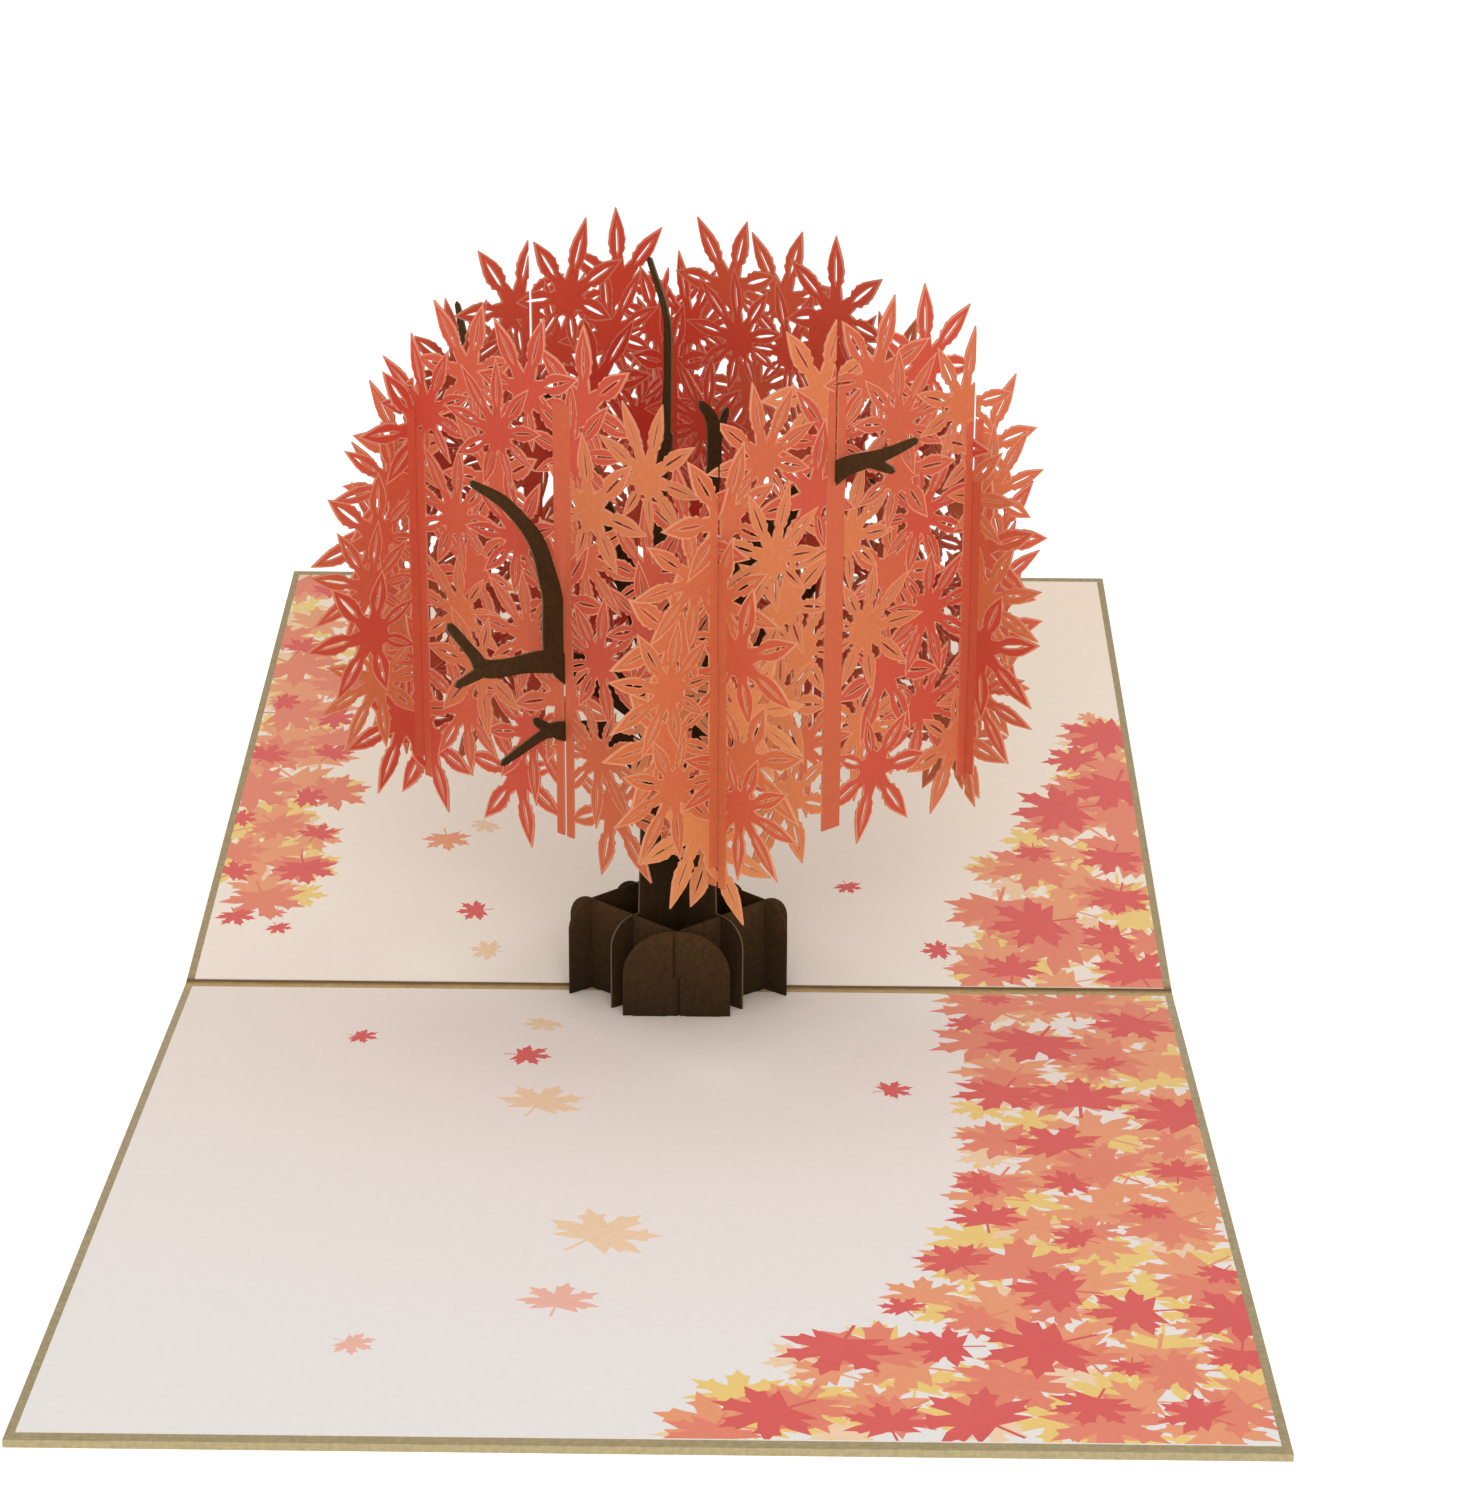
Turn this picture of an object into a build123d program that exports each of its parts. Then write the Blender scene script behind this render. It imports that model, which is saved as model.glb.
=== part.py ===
import os
from math import atan2, cos, degrees, pi, radians, sin, sqrt, tan

from build123d import *

# Card: one folded sheet with two square pages, lined inside, in mm and degrees
page_width = 150.0
page_depth = 150.0
cover_thickness = 1.0
page_rise = 10.0
liner_thickness = 0.15
liner_border = 1.2
liner_end_border = 2.0
fold_gap = 2.8

# Card stock of the tree, and the play in its half slots and at its feet
sheet_thickness = 0.3
slot_clearance = 0.12
seat_clearance = 0.05

# Lattice: sheets a and b stand at this angle to the fold, and cross along upright lines
lattice_angle = 42.0

# Planter: four walls with fins past two corners and flaps at the other two
planter_half_side = 8.8
planter_height = 15.0
fin_length = 4.4
fin_round = 4.2
flap_width = 8.0
flap_round = 7.4
flap_tab_width = 5.0

# Trunk, the same in both branch sheets
trunk_neck_half_width = 7.2
trunk_neck_height = 34.0
trunk_fork_half_width = 5.0
trunk_fork_height = 54.0
trunk_crotch_height = 49.0
trunk_meet_height = 26.0

# Crown: places of the four leaf sheets and the heights where the branches hold them.
# The lean is how far the top row of leaves lies towards the back of the card
side_offset = 30.0
front_offset = 21.5
back_offset = 27.0
crown_radius = 52.0
crown_middle = 67.5
crown_rise = 46.0
crown_fall = 37.0
crown_top_bulge = 1.75
crown_foot_bulge = 4.5
crown_lean = 7.0
front_sheet_drop = 4.0
low_branch_meet = 60.0
high_branch_meet = 88.0
spine_width = 3.4
spine_foot_inset = 5.0
spine_top_inset = 12.0

# Leaf: a star of pointed lobes, longest ahead and shortest at the stem, lapping its neighbours.
# The inset share is how much of a leaf's reach the rows keep inside the crown's top and foot
lobe_count = 7
leaf_reach = 12.0
leaf_lap = 6.4
leaf_row_pitch = 14.2
leaf_inset_share = 0.75
least_row_gaps = 2
stem_lobe_share = 0.72
lobe_half_width = 1.7
shoulder_share = 0.56
notch_radius = 3.6
leaf_twist = 18.0

# Branch routes as points along the sheet and up, each with its width at root and tip
fork = trunk_fork_height
low = low_branch_meet
high = high_branch_meet
branches_a = (
    (
        (
            (-3, fork - 9),
            (-13, fork - 1),
            (-front_offset, low - 1.8),
            (-23.4, low + 5),
            (-24, low + 11),
            (-26.5, low + 18),
            (-31.5, low + 24.5),
            (-37.5, low + 29),
        ),
        6.4,
        1.0,
    ),
    (((1 - front_offset, low - 1.6), (-28, low), (-35.5, low + 1), (-38, low + 4), (-42, low + 9)), 3.8, 1.2),
    (((-35, low + 1.2), (-40.8, low)), 2.2, 1.2),
    (((-4, fork - 18), (-13, fork - 9), (-21.5, fork - 6.2), (-25, fork - 5.4), (-33, fork - 8)), 5.0, 1.0),
    (((-23.6, fork - 5.8), (-27, fork - 3)), 2.2, 1.2),
    (((3, fork - 9), (15, fork), (back_offset, low), (36, low + 8), (41, low + 20)), 6.4, 1.2),
    (((back_offset, low), (36, low + 0.5), (42, low - 3)), 4.2, 1.2),
    (((2.6, fork - 8), (5.2, fork + 14), (6.8, fork + 32.5), (4.2, fork + 38)), 4.8, 1.2),
    (((6.6, fork + 30.5), (9, fork + 36)), 2.2, 1.2),
)
branches_b = (
    (
        (
            (3, fork - 4),
            (13, fork + 16),
            (22, fork + 28.5),
            (side_offset, high + 1.4),
            (37, high + 5),
            (44.5, high + 9.2),
        ),
        6.6,
        0.9,
    ),
    (((36, high + 4.4), (40.4, high + 4)), 2.0, 1.0),
    (
        (
            (-3, fork - 4),
            (-13, fork + 15),
            (-22, fork + 28),
            (-side_offset, high + 1.4),
            (-38, high + 1.6),
            (-43.3, high + 4),
            (-45.6, high + 10.5),
        ),
        6.6,
        1.0,
    ),
    (((-2, fork - 4), (-4, fork + 20), (-2, fork + 34)), 4.6, 1.8),
    (((-2.6, fork + 29), (-2, fork + 46), (-2.6, fork + 52), (-5.6, fork + 59)), 1.8, 1.0),
    (((4, fork - 18), (14, fork - 9), (23, fork - 7)), 5.0, 1.2),
    (((-4, fork - 16), (-13, fork - 7), (-22, fork - 2)), 5.0, 1.2),
)

# Values that follow from the sizes above
lean = page_rise / 2
fold_y = cover_thickness * tan(radians(lean))
slot_width = sheet_thickness + 2 * slot_clearance
corner_slot_width = 2 * slot_width
slot_overrun = 1.0
trunk_foot_half_width = planter_half_side - slot_width
leaf_pitch = 2 * leaf_reach - leaf_lap
crown_top = crown_middle + crown_rise + slot_overrun
flap_depth = 2 * planter_half_side * sin(radians(lattice_angle))
tab_centre = flap_width / 2

# The tree stands on the bisector of the two pages, with its foot at the inside of the fold
tree = Plane(
    origin=(0, -fold_y, cover_thickness),
    x_dir=(1, 0, 0),
    z_dir=(0, -sin(radians(lean)), cos(radians(lean))),
)

# Inside faces of the pages, with local y running away from the fold
back_page = Plane(
    origin=tree.origin,
    x_dir=(1, 0, 0),
    z_dir=(0, -sin(radians(page_rise)), cos(radians(page_rise))),
)
front_page = Plane(origin=tree.origin, x_dir=(-1, 0, 0), z_dir=(0, 0, 1))


def lattice_point(u, v):
    """Place in the tree's plan that lies u along direction a and v along direction b."""
    turn = radians(lattice_angle)
    return ((u + v) * cos(turn), (u - v) * sin(turn), 0)


def upright(turn, u, v):
    """Upright plane through a lattice point: x runs along the sheet and y up the tree."""
    along = tree.x_dir * cos(radians(turn)) + tree.y_dir * sin(radians(turn))
    return Plane(
        origin=tree.from_local_coords(lattice_point(u, v)),
        x_dir=along,
        z_dir=along.cross(tree.z_dir),
    )


def sheet_a(v):
    """Plane of a sheet in direction a, where x is u."""
    return upright(lattice_angle, 0, v)


def sheet_b(u):
    """Plane of a sheet in direction b, where x is v."""
    return upright(-lattice_angle, u, 0)


def page_height(depth):
    """Height of a page's inside face at a distance in front of or behind the fold."""
    return abs(depth) * tan(radians(lean))


def foot_height(depth):
    """Height of a sheet's foot, just above the liner."""
    return page_height(depth) + (liner_thickness + seat_clearance) / cos(radians(lean))


def below_foot(fold_at, reach):
    """Region under the two pages, in a sheet that crosses the fold at x = fold_at."""
    rise = foot_height(reach * sin(radians(lattice_angle)))
    return (
        (fold_at - reach, -slot_overrun),
        (fold_at + reach, -slot_overrun),
        (fold_at + reach, rise),
        (fold_at, foot_height(0)),
        (fold_at - reach, rise),
    )


def cut_slots(slots):
    """Cut each half slot, given as its place along the sheet and its lower and upper end."""
    for place, low, high in slots:
        with Locations((place, (low + high) / 2)):
            Rectangle(slot_width, high - low, mode=Mode.SUBTRACT)


def branch_outline(route, root_width, tip_width):
    """Outline of a tapered branch along a route of points."""
    left = []
    right = []
    last = len(route) - 1
    for index, (x, y) in enumerate(route):
        before = route[max(index - 1, 0)]
        after = route[min(index + 1, last)]
        heading = atan2(after[1] - before[1], after[0] - before[0])
        half = (root_width + (tip_width - root_width) * index / last) / 2
        left.append((x - half * sin(heading), y + half * cos(heading)))
        right.append((x + half * sin(heading), y - half * cos(heading)))
    return left + right[::-1]


def leaf_outline():
    """Outline of one leaf about its middle, with its longest lobe along x."""
    points = []
    stem_lobes = (lobe_count // 2, (lobe_count + 1) // 2)
    for lobe in range(lobe_count):
        angle = 2 * pi * lobe / lobe_count
        notch = angle - pi / lobe_count
        reach = leaf_reach * (stem_lobe_share + (1 - stem_lobe_share) * (1 + cos(angle)) / 2)
        shoulder = shoulder_share * reach
        lobe_points = ((shoulder, -lobe_half_width), (reach, 0), (shoulder, lobe_half_width))
        if lobe in stem_lobes:
            lobe_points = ((reach, 0),)
        points.append((notch_radius * cos(notch), notch_radius * sin(notch)))
        for along, side in lobe_points:
            points.append((along * cos(angle) - side * sin(angle), along * sin(angle) + side * cos(angle)))
    return points


def crown_span(drop, reach, bulge):
    """Share of the crown's full half width, or height, left at a distance from its middle."""
    return (1 - min(abs(drop) / reach, 1) ** bulge) ** (1 / bulge)


def leaf_places(half_width, middle, lean_along):
    """Leaves in rows across the sheet, each row as wide as the crown there, turned outward."""
    lowest = leaf_reach - crown_fall
    highest = crown_rise - leaf_reach
    inset = leaf_inset_share * leaf_reach
    rows = round((highest - lowest) / leaf_row_pitch)
    places = []
    for row in range(rows + 1):
        rise = lowest + (highest - lowest) * row / rows
        if rise > 0:
            row_span = crown_span(rise, crown_rise - inset, crown_top_bulge)
        else:
            row_span = crown_span(rise, crown_fall - inset, crown_foot_bulge)
        row_half = (half_width - leaf_reach) * row_span
        gaps = max(least_row_gaps, round(2 * row_half / leaf_pitch))
        for index in range(gaps + 1):
            along = row_half * (2 * index / gaps - 1)
            turn = degrees(atan2(rise, along)) + leaf_twist * (-1) ** (row + index)
            shift = lean_along * max(rise, 0) / highest
            places.append(Location((along + shift, middle + rise, 0), (0, 0, turn)))
    return places


def foliage(name, plane, offset, middle, lean_along, spines, slots):
    """Leaf lattice sheet with upright spines where it crosses other sheets."""
    half_width = sqrt(crown_radius**2 - offset**2)
    with BuildPart() as sheet:
        with BuildSketch(plane) as lattice:
            with Locations(*leaf_places(half_width, middle, lean_along)):
                Polygon(*leaf_outline())
            for place in spines:
                foot_span = crown_span(place, half_width, crown_foot_bulge)
                top_span = crown_span(place - lean_along / 2, half_width, crown_top_bulge)
                spine_low = middle - crown_fall * foot_span + spine_foot_inset
                spine_high = middle + crown_rise * top_span - spine_top_inset
                with Locations((place, (spine_low + spine_high) / 2)):
                    Rectangle(spine_width, spine_high - spine_low)
            cut_slots(slots)
            # A lobe's tip that a slot cuts free falls away
            add(lattice.faces().sort_by(SortBy.AREA)[-1], mode=Mode.REPLACE)
        extrude(amount=sheet_thickness / 2, both=True)
    sheet.part.label = name
    export_step(sheet.part, f"parts/{name}.step")


def trunk_sheet(name, plane, branches, slots):
    """Trunk with its branches, standing on both pages and carrying a fin past each planter wall."""
    foot_half = planter_half_side + fin_length
    with BuildPart() as sheet:
        with BuildSketch(plane):
            with BuildSketch(mode=Mode.ADD) as foot:
                with Locations((0, planter_height / 2)):
                    Rectangle(2 * foot_half, planter_height)
                fillet(foot.vertices().group_by(Axis.Y)[-1], fin_round)
            Polygon(
                (-trunk_foot_half_width, 0),
                (trunk_foot_half_width, 0),
                (trunk_neck_half_width, trunk_neck_height),
                (trunk_fork_half_width, trunk_fork_height),
                (0, trunk_crotch_height),
                (-trunk_fork_half_width, trunk_fork_height),
                (-trunk_neck_half_width, trunk_neck_height),
            )
            for route, root_width, tip_width in branches:
                Polygon(*branch_outline(route, root_width, tip_width))
            cut_slots(slots)
            Polygon(*below_foot(0, foot_half + slot_overrun), mode=Mode.SUBTRACT)
        extrude(amount=sheet_thickness / 2, both=True)
    sheet.part.label = name
    export_step(sheet.part, f"parts/{name}.step")


def planter_wall(name, plane, fold_at, flap_side, slots, corner, corner_slot):
    """Wall with a rounded fin past one corner and, at the other, a flap bent parallel to the fold."""
    fin_end = -flap_side * (planter_half_side + fin_length)
    flap_end = flap_side * (planter_half_side + sheet_thickness / 2)
    flap_foot = foot_height(flap_depth)
    tab_foot = page_height(flap_depth) + seat_clearance
    corner_x, corner_y, _ = lattice_point(*corner)
    with BuildPart() as wall:
        with BuildSketch(plane):
            with BuildSketch(mode=Mode.ADD) as panel:
                with Locations(((fin_end + flap_end) / 2, planter_height / 2)):
                    Rectangle(abs(fin_end - flap_end), planter_height)
                fin_corner = panel.vertices().group_by(Axis.Y)[-1].sort_by(Axis.X)[0 if fin_end < 0 else -1]
                fillet(fin_corner, fin_round)
            cut_slots(slots)
            Polygon(*below_foot(fold_at, 3 * planter_half_side), mode=Mode.SUBTRACT)
        extrude(amount=sheet_thickness / 2, both=True)
        with BuildSketch(upright(0, *corner)):
            with BuildSketch(mode=Mode.ADD) as flap:
                with Locations((flap_side * flap_width / 2, (flap_foot + planter_height) / 2)):
                    Rectangle(flap_width, planter_height - flap_foot)
                flap_corner = flap.vertices().group_by(Axis.Y)[-1].sort_by(Axis.X)[-1 if flap_side > 0 else 0]
                fillet(flap_corner, flap_round)
            with Locations((flap_side * tab_centre, (tab_foot + flap_foot) / 2)):
                Rectangle(flap_tab_width, flap_foot - tab_foot)
        extrude(amount=sheet_thickness / 2, both=True)
        slot_low, slot_high = corner_slot
        with BuildSketch(tree.offset(slot_low)):
            with Locations((corner_x, corner_y)):
                Rectangle(corner_slot_width, corner_slot_width)
        extrude(amount=slot_high - slot_low, mode=Mode.SUBTRACT)
    wall.part.label = name
    export_step(wall.part, f"parts/{name}.step")


def liner(name, page):
    """Paper sheet on the inside of a page, slit for the planter's two flap tabs."""
    liner_depth = page_depth - liner_end_border - fold_gap / 2
    with BuildPart() as sheet:
        with BuildSketch(page):
            with Locations((0, fold_gap / 2 + liner_depth / 2)):
                Rectangle(page_width - 2 * liner_border, liner_depth)
            with Locations((0, flap_depth / cos(radians(lean)))):
                with GridLocations(2 * tab_centre, 0, 2, 1):
                    Rectangle(flap_tab_width + 2 * slot_clearance, slot_width, mode=Mode.SUBTRACT)
        extrude(amount=liner_thickness)
    sheet.part.label = name
    export_step(sheet.part, f"parts/{name}.step")


os.makedirs("parts", exist_ok=True)

# Cover: the folded sheet, its front page flat and its back page raised by the spring of the fold
with BuildPart() as cover:
    with BuildSketch(Plane.YZ):
        with BuildLine():
            rise = radians(page_rise)
            back_edge = (page_depth * cos(rise), page_depth * sin(rise))
            Polyline(
                (-page_depth, 0),
                (0, 0),
                back_edge,
                (back_edge[0] - cover_thickness * sin(rise), back_edge[1] + cover_thickness * cos(rise)),
                (-fold_y, cover_thickness),
                (-page_depth, cover_thickness),
                close=True,
            )
        make_face()
    extrude(amount=page_width / 2, both=True)
cover.part.label = "cover"
export_step(cover.part, "parts/cover.step")

liner("back_liner", back_page)
liner("front_liner", front_page)

# Planter walls: those in direction a are slotted from above, those in direction b from below
side = planter_half_side
wall_top = planter_height + slot_overrun
wall_meet = planter_height / 2
upper = (wall_meet, wall_top)
lower = (-slot_overrun, wall_meet)
front_corner = (-side, side)
back_corner = (side, -side)
planter_wall(
    "planter_front_right", sheet_a(side), side, -1, ((0, *upper), (side, *upper)), front_corner, upper
)
planter_wall(
    "planter_back_left", sheet_a(-side), -side, 1, ((0, *upper), (-side, *upper)), back_corner, upper
)
planter_wall(
    "planter_front_left", sheet_b(-side), -side, 1, ((0, *lower), (-side, *lower)), front_corner, lower
)
planter_wall(
    "planter_back_right", sheet_b(side), side, -1, ((0, *lower), (side, *lower)), back_corner, lower
)

# Trunk and branch sheets, crossing each other on the tree's axis
trunk_sheet(
    "trunk_sheet_a",
    sheet_a(0),
    branches_a,
    (
        (0, trunk_meet_height, crown_top),
        (-side, *upper),
        (side, *upper),
        (-front_offset, low_branch_meet, crown_top),
        (back_offset, low_branch_meet, crown_top),
    ),
)
trunk_sheet(
    "trunk_sheet_b",
    sheet_b(0),
    branches_b,
    (
        (0, -slot_overrun, trunk_meet_height),
        (-side, *lower),
        (side, *lower),
        (-side_offset, 0, high_branch_meet),
        (side_offset, 0, high_branch_meet),
    ),
)

# Leaf sheets: two each way, the one at the front left hanging a little lower
front_middle = crown_middle - front_sheet_drop
front_meet = (crown_middle + front_middle) / 2
side_spines = (-front_offset, 0, back_offset)
side_slots = (
    (-front_offset, front_meet, crown_top),
    (0, high_branch_meet, crown_top),
    (back_offset, crown_middle, crown_top),
)
cross_spines = (-side_offset, 0, side_offset)
front_slots = ((-side_offset, 0, front_meet), (0, 0, low_branch_meet), (side_offset, 0, front_meet))
back_slots = ((-side_offset, 0, crown_middle), (0, 0, low_branch_meet), (side_offset, 0, crown_middle))
side_shape = (side_offset, crown_middle, crown_lean, side_spines, side_slots)
foliage("foliage_front_right", sheet_a(side_offset), *side_shape)
foliage("foliage_back_left", sheet_a(-side_offset), *side_shape)
front_shape = (front_offset, front_middle, -crown_lean, cross_spines, front_slots)
foliage("foliage_front_left", sheet_b(-front_offset), *front_shape)
back_shape = (back_offset, crown_middle, -crown_lean, cross_spines, back_slots)
foliage("foliage_back_right", sheet_b(back_offset), *back_shape)
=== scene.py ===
"""Looks of the pop up card: cut leaf sheets, branch sheets, printed liners and card stock."""
import random
from collections import namedtuple
from math import atan2, cos, pi, radians, sin, sqrt, tan

import bpy
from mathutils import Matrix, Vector
from mathutils.geometry import delaunay_2d_cdt


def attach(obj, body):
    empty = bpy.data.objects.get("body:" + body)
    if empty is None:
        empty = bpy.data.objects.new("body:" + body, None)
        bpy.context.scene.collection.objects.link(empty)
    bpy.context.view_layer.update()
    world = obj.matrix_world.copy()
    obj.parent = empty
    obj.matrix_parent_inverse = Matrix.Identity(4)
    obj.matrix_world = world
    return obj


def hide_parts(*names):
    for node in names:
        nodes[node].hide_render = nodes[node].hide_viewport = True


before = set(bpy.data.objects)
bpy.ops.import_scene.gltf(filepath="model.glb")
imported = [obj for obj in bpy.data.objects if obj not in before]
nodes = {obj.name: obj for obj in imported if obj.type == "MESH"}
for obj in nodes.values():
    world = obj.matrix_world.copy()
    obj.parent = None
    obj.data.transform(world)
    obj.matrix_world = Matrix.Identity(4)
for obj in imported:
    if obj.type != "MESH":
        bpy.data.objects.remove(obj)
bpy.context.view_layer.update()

MM = 0.001

# Sizes of the card and its tree, in mm and degrees, as the part has them
PAGE_WIDTH = 150.0
PAGE_DEPTH = 150.0
COVER_THICKNESS = 1.0
PAGE_RISE = 10.0
LINER_THICKNESS = 0.15
LINER_BORDER = 1.2
LINER_END_BORDER = 2.0
FOLD_GAP = 2.8
SHEET_THICKNESS = 0.3
SLOT_WIDTH = 0.54
SLOT_OVERRUN = 1.0
SEAT_CLEARANCE = 0.05
LATTICE_ANGLE = 42.0
PLANTER_HALF_SIDE = 8.8
PLANTER_HEIGHT = 15.0
FIN_LENGTH = 4.4
FIN_ROUND = 4.2
FLAP_WIDTH = 8.0
FLAP_TAB_WIDTH = 5.0
TRUNK_NECK_HALF_WIDTH = 7.2
TRUNK_NECK_HEIGHT = 34.0
TRUNK_FORK_HALF_WIDTH = 5.0
TRUNK_FORK_HEIGHT = 54.0
TRUNK_CROTCH_HEIGHT = 49.0
TRUNK_MEET_HEIGHT = 26.0
SIDE_OFFSET = 30.0
FRONT_OFFSET = 21.5
BACK_OFFSET = 27.0
CROWN_RADIUS = 52.0
CROWN_MIDDLE = 67.5
CROWN_RISE = 46.0
CROWN_FALL = 37.0
CROWN_TOP_BULGE = 1.75
CROWN_FOOT_BULGE = 4.5
CROWN_LEAN = 7.0
FRONT_SHEET_DROP = 4.0
LOW_BRANCH_MEET = 60.0
HIGH_BRANCH_MEET = 88.0
SPINE_WIDTH = 3.4
SPINE_FOOT_INSET = 5.0
SPINE_TOP_INSET = 12.0
LOBE_COUNT = 7
LEAF_REACH = 12.0
LEAF_LAP = 6.4
LEAF_ROW_PITCH = 14.2
LEAF_INSET_SHARE = 0.75
LEAST_ROW_GAPS = 2
STEM_LOBE_SHARE = 0.72
LOBE_HALF_WIDTH = 1.7
LEAF_TWIST = 18.0

# Finer cuts that only the look has: pinched lobes with saw teeth, pale rims, vein slits and
# smaller leaves between the rows
LOBE_NOTCH_RADIUS = 2.8
STEM_LOBE_WIDTH_SHARE = 0.72
LOBE_PROFILE = ((0.34, 0.64), (0.45, 0.90), (0.57, 0.98), (0.69, 0.82), (0.82, 0.50))
TOOTH_SHARE = 0.11
TOOTH_STEP = 0.045
RIM_NOTCH_RADIUS = 2.6
RIM_PROFILE = ((0.34, 0.50), (0.46, 0.75), (0.58, 0.83), (0.70, 0.66), (0.82, 0.35))
RIM_TIP_SHARE = 0.95
SLIT_PROFILE = ((0.36, 0.0), (0.46, 1.0), (0.68, 0.9), (0.82, 0.0))
SLIT_HALF_WIDTH = 0.23
SLIT_RIM_PROFILE = ((0.34, 0.0), (0.45, 1.0), (0.70, 0.9), (0.84, 0.0))
SLIT_RIM_HALF_WIDTH = 0.35
INFILL_LOBES = 9
INFILL_LOBE_SHARE = 0.82
INFILL_SCALE = 0.96
FRONT_INFILL_PITCH = 13.0
BACK_INFILL_PITCH = 9.5
INFILL_TWIST = 25.0

# Branch routes as points along the sheet and up, each with its width at root and tip
FORK = TRUNK_FORK_HEIGHT
LOW = LOW_BRANCH_MEET
HIGH = HIGH_BRANCH_MEET
BRANCHES_A = (
    (
        (
            (-3, FORK - 9),
            (-13, FORK - 1),
            (-FRONT_OFFSET, LOW - 1.8),
            (-23.4, LOW + 5),
            (-24, LOW + 11),
            (-26.5, LOW + 18),
            (-31.5, LOW + 24.5),
            (-37.5, LOW + 29),
        ),
        6.4,
        1.0,
    ),
    (
        (
            (1 - FRONT_OFFSET, LOW - 1.6),
            (-28, LOW),
            (-35.5, LOW + 1),
            (-38, LOW + 4),
            (-42, LOW + 9),
        ),
        3.8,
        1.2,
    ),
    (((-35, LOW + 1.2), (-40.8, LOW)), 2.2, 1.2),
    (
        (
            (-4, FORK - 18),
            (-13, FORK - 9),
            (-21.5, FORK - 6.2),
            (-25, FORK - 5.4),
            (-33, FORK - 8),
        ),
        5.0,
        1.0,
    ),
    (((-23.6, FORK - 5.8), (-27, FORK - 3)), 2.2, 1.2),
    (((3, FORK - 9), (15, FORK), (BACK_OFFSET, LOW), (36, LOW + 8), (41, LOW + 20)), 6.4, 1.2),
    (((BACK_OFFSET, LOW), (36, LOW + 0.5), (42, LOW - 3)), 4.2, 1.2),
    (((2.6, FORK - 8), (5.2, FORK + 14), (6.8, FORK + 32.5), (4.2, FORK + 38)), 4.8, 1.2),
    (((6.6, FORK + 30.5), (9, FORK + 36)), 2.2, 1.2),
)
BRANCHES_B = (
    (
        (
            (3, FORK - 4),
            (13, FORK + 16),
            (22, FORK + 28.5),
            (SIDE_OFFSET, HIGH + 1.4),
            (37, HIGH + 5),
            (44.5, HIGH + 9.2),
        ),
        6.6,
        0.9,
    ),
    (((36, HIGH + 4.4), (40.4, HIGH + 4)), 2.0, 1.0),
    (
        (
            (-3, FORK - 4),
            (-13, FORK + 15),
            (-22, FORK + 28),
            (-SIDE_OFFSET, HIGH + 1.4),
            (-38, HIGH + 1.6),
            (-43.3, HIGH + 4),
            (-45.6, HIGH + 10.5),
        ),
        6.6,
        1.0,
    ),
    (((-2, FORK - 4), (-4, FORK + 20), (-2, FORK + 34)), 4.6, 1.8),
    (((-2.6, FORK + 29), (-2, FORK + 46), (-2.6, FORK + 52), (-5.6, FORK + 59)), 1.8, 1.0),
    (((4, FORK - 18), (14, FORK - 9), (23, FORK - 7)), 5.0, 1.2),
    (((-4, FORK - 16), (-13, FORK - 7), (-22, FORK - 2)), 5.0, 1.2),
)

# Knots along the branches, as a share of the width and in mm, and the fineness of curved cuts
KNOT_DEPTH = 0.09
KNOT_LENGTH = 3.1
ROUTE_STEPS = 7
FIN_ROUND_STEPS = 8

# Values that follow from the sizes above
LEAN = radians(PAGE_RISE / 2)
RISE = radians(PAGE_RISE)
TURN = radians(LATTICE_ANGLE)
LEAF_PITCH = 2 * LEAF_REACH - LEAF_LAP
CROWN_TOP = CROWN_MIDDLE + CROWN_RISE + SLOT_OVERRUN
FLAP_DEPTH = 2 * PLANTER_HALF_SIDE * sin(TURN)
LINER_HALF_WIDTH = PAGE_WIDTH / 2 - LINER_BORDER

# Start of the random draws: order and tone of the leaves, and places of the printed ones
SEED = 11

# What delaunay_2d_cdt is asked for: only triangles inside the polygons, and points welded in mm
INSIDE_TRIANGLES = 1
WELD_DISTANCE = 1e-5


class Sheet:
    """Plane of a card sheet: x along the sheet, y up it, and height off it, all in mm."""

    def __init__(self, origin, along, up):
        self.origin = Vector(origin)
        self.along = Vector(along)
        self.up = Vector(up)
        self.normal = self.along.cross(self.up)

    def at(self, x, y, height):
        """Point on or off the sheet, in metres."""
        return (self.origin + x * self.along + y * self.up + height * self.normal) * MM


fold_inside = Vector((0, -COVER_THICKNESS * tan(LEAN), COVER_THICKNESS))
tree_up = Vector((0, -sin(LEAN), cos(LEAN)))
tree_depth = Vector((0, cos(LEAN), sin(LEAN)))
tree_side = Vector((1, 0, 0))


def upright(turn, u, v):
    """Upright sheet of the tree through lattice point u, v."""
    middle = fold_inside + (u + v) * cos(TURN) * tree_side + (u - v) * sin(TURN) * tree_depth
    return Sheet(middle, tree_side * cos(turn) + tree_depth * sin(turn), tree_up)


def sheet_a(v):
    """Upright sheet that runs from front left to back right."""
    return upright(TURN, 0, v)


def sheet_b(u):
    """Upright sheet that runs from back left to front right."""
    return upright(-TURN, u, 0)


back_page = Sheet(fold_inside, (1, 0, 0), (0, cos(RISE), sin(RISE)))
front_page = Sheet(fold_inside, (-1, 0, 0), (0, -1, 0))


def area(points):
    """Area of a polygon, negative where it runs clockwise."""
    return sum(a[0] * b[1] - b[0] * a[1] for a, b in zip(points, points[1:] + points[:1])) / 2


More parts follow.
